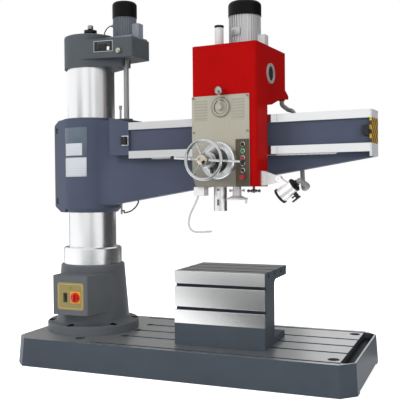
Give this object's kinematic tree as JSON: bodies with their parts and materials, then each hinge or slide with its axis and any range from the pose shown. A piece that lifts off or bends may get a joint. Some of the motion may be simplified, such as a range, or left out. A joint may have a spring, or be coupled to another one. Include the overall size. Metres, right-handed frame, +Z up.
{
  "type": "radial arm drill",
  "caption": "Radial arm drilling machine: slotted base with box table, swinging column, arm that lifts on a screw, red travelling drill head with quill, handwheel and lamp.",
  "frame": {"origin": "column axis on the floor, on the underside of the base plate", "axes": "+X along the base towards the table, +Y to the back, +Z up"},
  "size_m": [2.5058, 1.331, 2.62],
  "materials": {
    "grey_cast_paint": "semi-gloss",
    "arm_paint": "semi-gloss",
    "red_paint": "gloss",
    "dark_paint": "satin",
    "ground_steel": "ground",
    "bright_steel": "turned",
    "cast_aluminium": "cast",
    "machined_iron": "milled",
    "black_plastic": "gloss",
    "red_plastic": "gloss",
    "green_plastic": "gloss",
    "panel_sheet": "satin",
    "button_sheet": "satin",
    "white_tube": "gloss",
    "bronze": "turned",
    "black_rubber": "matte",
    "conduit_sheath": "satin"
  },
  "bodies": {
    "base": {"base_plate": "grey_cast_paint", "pedestal": "grey_cast_paint", "inner_column": "ground_steel", "base_bolts": "bright_steel", "work_table": "machined_iron"},
    "isolator": {"isolator_knob": "red_plastic"},
    "column": {"outer_column": "ground_steel", "column_ring": "ground_steel", "column_bearings": "bright_steel", "column_cap": "dark_paint", "slip_ring_cover": "black_plastic", "lift_motor": "dark_paint", "lift_motor_cowl": "black_plastic", "screw_bearing": "bright_steel"},
    "lift_screw": {"lift_screw": "bright_steel", "lift_gear": "bronze"},
    "lift_pinion": {"lift_pinion": "bright_steel"},
    "arm": {"arm_casting": "arm_paint", "arm_ways": "ground_steel", "traverse_rack": "bright_steel", "lift_nut": "bronze", "clamp_bolts": "bright_steel", "arm_end_plate": "arm_paint", "arm_stops": "black_rubber", "trip_rod": "bright_steel", "clamp_hose": "black_rubber"},
    "head": {"head_casing": "red_paint", "head_cover": "red_paint", "front_panel": "panel_sheet", "way_keepers": "bright_steel", "main_motor": "cast_aluminium", "main_motor_cowl": "black_plastic", "spindle_guard": "white_tube", "sight_glass": "cast_aluminium", "button_plate": "button_sheet", "coolant_block": "cast_aluminium", "coolant_pipe": "cast_aluminium", "lamp_bracket": "cast_aluminium", "lamp_conduit": "conduit_sheath"},
    "motor_rotor": {"main_motor_shaft": "bright_steel"},
    "layshaft": {"layshaft": "bright_steel"},
    "drive_gear": {"drive_gear": "bright_steel"},
    "quill": {"quill": "ground_steel", "quill_rack": "bright_steel", "spindle_bearings": "bright_steel"},
    "spindle": {"spindle": "bright_steel"},
    "feed_control": {"feed_shaft": "bright_steel", "feed_dial": "bright_steel", "lever_balls": "black_plastic"},
    "traverse_control": {"traverse_wheel": "bright_steel"},
    "fine_feed": {"fine_feed_wheel": "bright_steel"},
    "shift": {"shift_lever": "black_plastic"},
    "speed": {"speed_lever": "bright_steel"},
    "button_1": {"button_1": "black_plastic"},
    "button_2": {"button_2": "green_plastic"},
    "button_3": {"button_3": "red_plastic"},
    "button_4": {"button_4": "black_plastic"},
    "button_5": {"button_5": "black_plastic"},
    "stop_button": {"stop_button": "red_plastic"},
    "lamp": {"lamp_head": "cast_aluminium"}
  },
  "joints": [
    {"name": "column_swing", "type": "hinge", "parent": "base", "child": "column", "pos_m": [0, 0, 0.75], "axis": [0, 0, 1], "range_deg": [-174.7, 185.3]},
    {"name": "isolator_turn", "type": "hinge", "parent": "base", "child": "isolator", "pos_m": [0.068, -0.36, 0.474], "axis": [0, -1, 0], "range_deg": [0, 90]},
    {"name": "arm_lift", "type": "slide", "parent": "column", "child": "arm", "axis": [0, 0, 1], "range_m": [-0.24, 0.3]},
    {"name": "lift_screw_turn", "type": "hinge", "parent": "column", "child": "lift_screw", "pos_m": [0.31465, -0.02919, 2.15], "axis": [0, 0, 1], "range_deg": [-11000, 11000]},
    {"name": "lift_pinion_turn", "type": "hinge", "parent": "column", "child": "lift_pinion", "pos_m": [0.26711, 0.04486, 2.3], "axis": [0, 0, 1], "range_deg": [-33000, 33000]},
    {"name": "head_traverse", "type": "slide", "parent": "arm", "child": "head", "axis": [0.9957, -0.0924, 0], "range_m": [-0.6, 0.6]},
    {"name": "traverse_turn", "type": "hinge", "parent": "head", "child": "traverse_control", "pos_m": [1.23885, -0.41621, 1.4095], "axis": [-0.0924, -0.9957, 0], "range_deg": [-985, 985]},
    {"name": "quill_feed", "type": "slide", "parent": "head", "child": "quill", "axis": [0, 0, -1], "range_m": [0, 0.315]},
    {"name": "feed_turn", "type": "hinge", "parent": "head", "child": "feed_control", "pos_m": [1.23885, -0.41621, 1.4095], "axis": [-0.0924, -0.9957, 0], "range_deg": [-5, 905]},
    {"name": "spindle_spin", "type": "hinge", "parent": "quill", "child": "spindle", "pos_m": [1.17651, -0.39537, 1.5], "axis": [0, 0, 1], "continuous": true},
    {"name": "drive_gear_turn", "type": "hinge", "parent": "head", "child": "drive_gear", "pos_m": [1.17651, -0.39537, 1.9], "axis": [0, 0, 1], "continuous": true},
    {"name": "layshaft_turn", "type": "hinge", "parent": "head", "child": "layshaft", "pos_m": [1.27137, -0.36704, 1.95], "axis": [0, 0, 1], "continuous": true},
    {"name": "motor_turn", "type": "hinge", "parent": "head", "child": "motor_rotor", "pos_m": [1.30847, -0.27203, 2.05], "axis": [0, 0, 1], "continuous": true},
    {"name": "fine_feed_turn", "type": "hinge", "parent": "head", "child": "fine_feed", "pos_m": [1.2976, -0.42166, 1.24], "axis": [0, 0, 1], "continuous": true},
    {"name": "shift_turn", "type": "hinge", "parent": "head", "child": "shift", "pos_m": [1.41211, -0.43228, 1.24], "axis": [0, 0, 1], "range_deg": [-30, 30]},
    {"name": "speed_turn", "type": "hinge", "parent": "head", "child": "speed", "pos_m": [1.2326, -0.51606, 1.741], "axis": [0.0924, 0.9957, 0], "range_deg": [-120, 120]},
    {"name": "button_1_press", "type": "slide", "parent": "head", "child": "button_1", "axis": [0.0924, 0.9957, 0], "range_m": [0, 0.004], "stiffness_N_per_m": 700},
    {"name": "button_2_press", "type": "slide", "parent": "head", "child": "button_2", "axis": [0.0924, 0.9957, 0], "range_m": [0, 0.004], "stiffness_N_per_m": 700},
    {"name": "button_3_press", "type": "slide", "parent": "head", "child": "button_3", "axis": [0.0924, 0.9957, 0], "range_m": [0, 0.004], "stiffness_N_per_m": 700},
    {"name": "button_4_press", "type": "slide", "parent": "head", "child": "button_4", "axis": [0.0924, 0.9957, 0], "range_m": [0, 0.004], "stiffness_N_per_m": 700},
    {"name": "button_5_press", "type": "slide", "parent": "head", "child": "button_5", "axis": [0.0924, 0.9957, 0], "range_m": [0, 0.004], "stiffness_N_per_m": 700},
    {"name": "stop_button_press", "type": "slide", "parent": "head", "child": "stop_button", "axis": [0.0924, 0.9957, 0], "range_m": [0, 0.004], "stiffness_N_per_m": 700},
    {"name": "lamp_tilt", "type": "hinge", "parent": "head", "child": "lamp", "pos_m": [1.57839, -0.44771, 1.294], "axis": [0.0924, 0.9957, 0], "range_deg": [-25, 25], "deforming": ["lamp_conduit"]}
  ],
  "couplings": [
    {"joint": "lift_screw_turn", "follows": "arm_lift", "rad_per_m": -628.32},
    {"joint": "lift_pinion_turn", "follows": "arm_lift", "rad_per_m": 1885},
    {"joint": "traverse_turn", "follows": "head_traverse", "rad_per_m": 28.571},
    {"joint": "feed_turn", "follows": "quill_feed", "rad_per_m": 50},
    {"joint": "drive_gear_turn", "follows": "spindle_spin", "ratio": 1},
    {"joint": "layshaft_turn", "follows": "spindle_spin", "ratio": -2},
    {"joint": "motor_turn", "follows": "spindle_spin", "ratio": 4.8}
  ]
}
